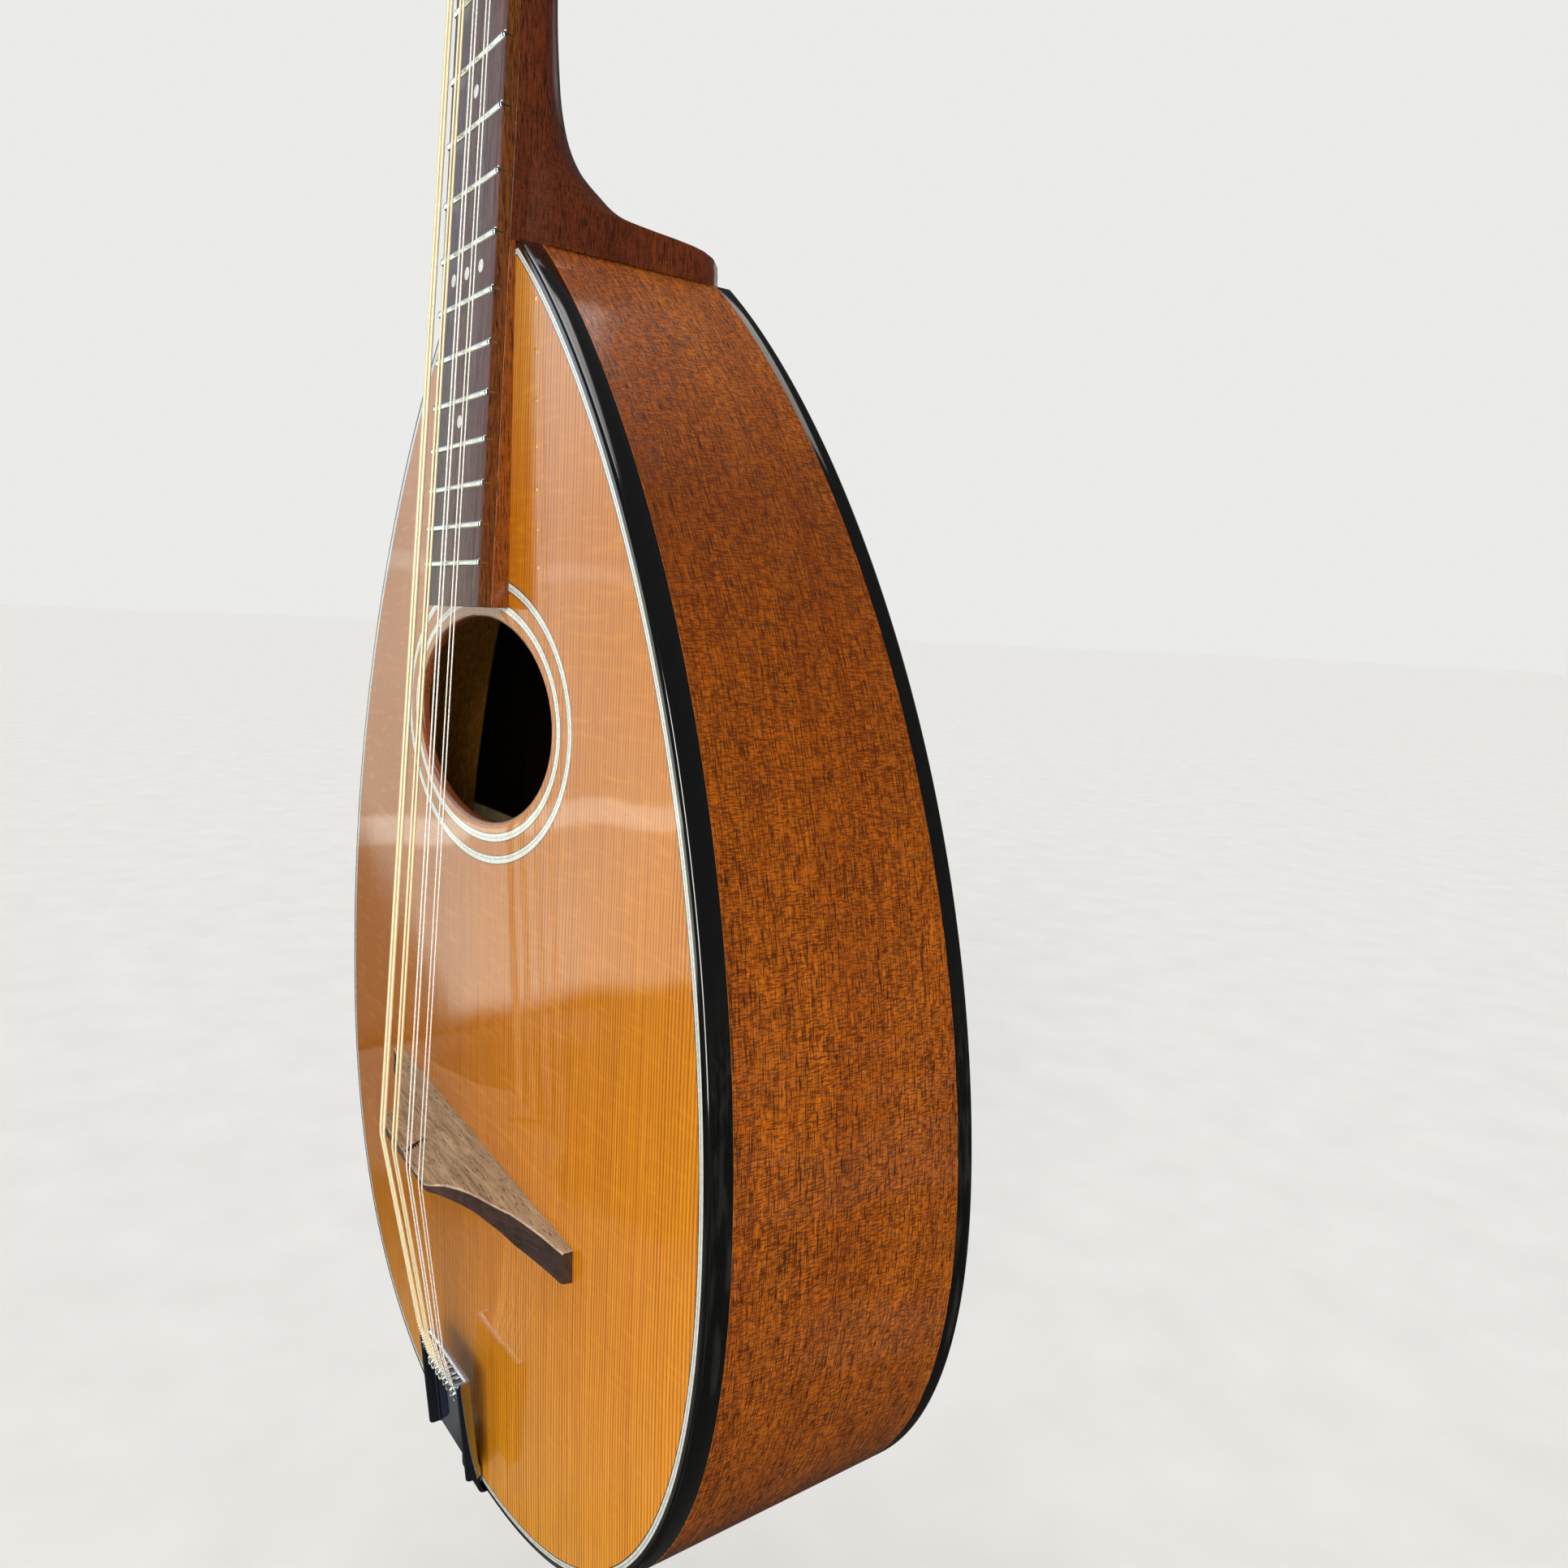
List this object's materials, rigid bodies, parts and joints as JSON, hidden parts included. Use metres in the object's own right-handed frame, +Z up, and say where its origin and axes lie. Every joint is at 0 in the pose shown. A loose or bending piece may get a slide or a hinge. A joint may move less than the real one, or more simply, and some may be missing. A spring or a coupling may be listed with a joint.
{
  "type": "octave mandolin",
  "caption": "Octave mandolin with a teardrop body, oval sound hole, carved neck, floating bridge, chrome tailpiece and geared tuners, strung in pairs.",
  "frame": {"origin": "seat of a wall hanger: on the centre line of the neck, half way through its thickness, just above the nut where the headstock widens", "axes": "+Z up the neck from the tail to the headstock, -Y out of the soundboard towards the player's hand, +X to the treble side"},
  "size_m": [0.298, 0.131, 0.8288],
  "materials": {
    "top_wood": "gloss lacquered spruce, amber",
    "side_wood": "gloss lacquered mahogany",
    "neck_wood": "gloss lacquered mahogany",
    "inner_wood": "bare spruce and mahogany inside the body",
    "rosewood": "oiled rosewood",
    "bridge_wood": "satin rosewood",
    "black_binding": "gloss black",
    "white_line": "white and black lines under lacquer",
    "bone": "polished bone",
    "chrome": "mirror chrome",
    "nickel": "satin nickel plate",
    "steel_rod": "plain steel",
    "bronze_string": "bronze winding",
    "plain_string": "plain steel wire",
    "button": "ivory coloured gloss"
  },
  "bodies": {
    "instrument": {"binding_top": "black_binding", "binding_back": "black_binding", "purfling": "white_line", "side_treble": "side_wood", "side_bass": "side_wood", "lining_top_treble": "inner_wood", "lining_top_bass": "inner_wood", "lining_back_treble": "inner_wood", "lining_back_bass": "inner_wood", "back_plate": "side_wood", "soundboard": "top_wood", "rosette_inner": "white_line", "rosette_outer": "white_line", "neck_block": "inner_wood", "tail_block": "inner_wood", "tail_wedge": "black_binding", "brace_top_upper": "inner_wood", "brace_top_lower": "inner_wood", "tone_bar_bass": "inner_wood", "tone_bar_treble": "inner_wood", "brace_back_upper": "inner_wood", "brace_back_middle": "inner_wood", "brace_back_lower": "inner_wood", "neck": "neck_wood", "head_veneer": "rosewood", "truss_rod": "steel_rod", "truss_rod_cover": "black_binding", "fingerboard": "rosewood", "fingerboard_riser": "neck_wood", "nut": "bone", "bridge": "bridge_wood", "tailpiece": "chrome", "tailpiece_screw_upper": "nickel", "tailpiece_screw_lower": "nickel", "tuner_plate_bass": "nickel", "tuner_plate_treble": "nickel", "string_1a": "plain_string", "string_1b": "plain_string", "string_2a": "plain_string", "string_2b": "plain_string", "string_3a": "bronze_string", "string_3b": "bronze_string", "string_4a": "bronze_string", "string_4b": "bronze_string"},
    "button_bass_1": {"tuner_button_bass_1": "button"},
    "post_bass_1": {"string_post_bass_1": "nickel"},
    "button_bass_2": {"tuner_button_bass_2": "button"},
    "post_bass_2": {"string_post_bass_2": "nickel"},
    "button_bass_3": {"tuner_button_bass_3": "button"},
    "post_bass_3": {"string_post_bass_3": "nickel"},
    "button_bass_4": {"tuner_button_bass_4": "button"},
    "post_bass_4": {"string_post_bass_4": "nickel"},
    "button_treble_1": {"tuner_button_treble_1": "button"},
    "post_treble_1": {"string_post_treble_1": "nickel"},
    "button_treble_2": {"tuner_button_treble_2": "button"},
    "post_treble_2": {"string_post_treble_2": "nickel"},
    "button_treble_3": {"tuner_button_treble_3": "button"},
    "post_treble_3": {"string_post_treble_3": "nickel"},
    "button_treble_4": {"tuner_button_treble_4": "button"},
    "post_treble_4": {"string_post_treble_4": "nickel"}
  },
  "joints": [
    {"name": "button_bass_1_turn", "type": "hinge", "parent": "instrument", "child": "button_bass_1", "pos_m": [-0.0195, 0.01675, 0.01134], "axis": [1, 0, 0], "continuous": true},
    {"name": "post_bass_1_turn", "type": "hinge", "parent": "instrument", "child": "post_bass_1", "pos_m": [-0.0195, 0.01851, 0.01722], "axis": [0, -0.9578, 0.2874], "continuous": true},
    {"name": "button_bass_2_turn", "type": "hinge", "parent": "instrument", "child": "button_bass_2", "pos_m": [-0.0195, 0.02336, 0.03337], "axis": [1, 0, 0], "continuous": true},
    {"name": "post_bass_2_turn", "type": "hinge", "parent": "instrument", "child": "post_bass_2", "pos_m": [-0.0195, 0.02512, 0.03925], "axis": [0, -0.9578, 0.2874], "continuous": true},
    {"name": "button_bass_3_turn", "type": "hinge", "parent": "instrument", "child": "button_bass_3", "pos_m": [-0.0195, 0.02996, 0.0554], "axis": [1, 0, 0], "continuous": true},
    {"name": "post_bass_3_turn", "type": "hinge", "parent": "instrument", "child": "post_bass_3", "pos_m": [-0.0195, 0.03173, 0.06128], "axis": [0, -0.9578, 0.2874], "continuous": true},
    {"name": "button_bass_4_turn", "type": "hinge", "parent": "instrument", "child": "button_bass_4", "pos_m": [-0.0195, 0.03657, 0.07743], "axis": [1, 0, 0], "continuous": true},
    {"name": "post_bass_4_turn", "type": "hinge", "parent": "instrument", "child": "post_bass_4", "pos_m": [-0.0195, 0.03834, 0.08331], "axis": [0, -0.9578, 0.2874], "continuous": true},
    {"name": "button_treble_1_turn", "type": "hinge", "parent": "instrument", "child": "button_treble_1", "pos_m": [0.0195, 0.01675, 0.01134], "axis": [1, 0, 0], "continuous": true},
    {"name": "post_treble_1_turn", "type": "hinge", "parent": "instrument", "child": "post_treble_1", "pos_m": [0.0195, 0.01851, 0.01722], "axis": [0, -0.9578, 0.2874], "continuous": true},
    {"name": "button_treble_2_turn", "type": "hinge", "parent": "instrument", "child": "button_treble_2", "pos_m": [0.0195, 0.02336, 0.03337], "axis": [1, 0, 0], "continuous": true},
    {"name": "post_treble_2_turn", "type": "hinge", "parent": "instrument", "child": "post_treble_2", "pos_m": [0.0195, 0.02512, 0.03925], "axis": [0, -0.9578, 0.2874], "continuous": true},
    {"name": "button_treble_3_turn", "type": "hinge", "parent": "instrument", "child": "button_treble_3", "pos_m": [0.0195, 0.02996, 0.0554], "axis": [1, 0, 0], "continuous": true},
    {"name": "post_treble_3_turn", "type": "hinge", "parent": "instrument", "child": "post_treble_3", "pos_m": [0.0195, 0.03173, 0.06128], "axis": [0, -0.9578, 0.2874], "continuous": true},
    {"name": "button_treble_4_turn", "type": "hinge", "parent": "instrument", "child": "button_treble_4", "pos_m": [0.0195, 0.03657, 0.07743], "axis": [1, 0, 0], "continuous": true},
    {"name": "post_treble_4_turn", "type": "hinge", "parent": "instrument", "child": "post_treble_4", "pos_m": [0.0195, 0.03834, 0.08331], "axis": [0, -0.9578, 0.2874], "continuous": true}
  ],
  "couplings": [
    {"joint": "post_bass_1_turn", "follows": "button_bass_1_turn", "ratio": -0.071429},
    {"joint": "post_bass_2_turn", "follows": "button_bass_2_turn", "ratio": -0.071429},
    {"joint": "post_bass_3_turn", "follows": "button_bass_3_turn", "ratio": -0.071429},
    {"joint": "post_bass_4_turn", "follows": "button_bass_4_turn", "ratio": -0.071429},
    {"joint": "post_treble_1_turn", "follows": "button_treble_1_turn", "ratio": -0.071429},
    {"joint": "post_treble_2_turn", "follows": "button_treble_2_turn", "ratio": -0.071429},
    {"joint": "post_treble_3_turn", "follows": "button_treble_3_turn", "ratio": -0.071429},
    {"joint": "post_treble_4_turn", "follows": "button_treble_4_turn", "ratio": -0.071429}
  ]
}
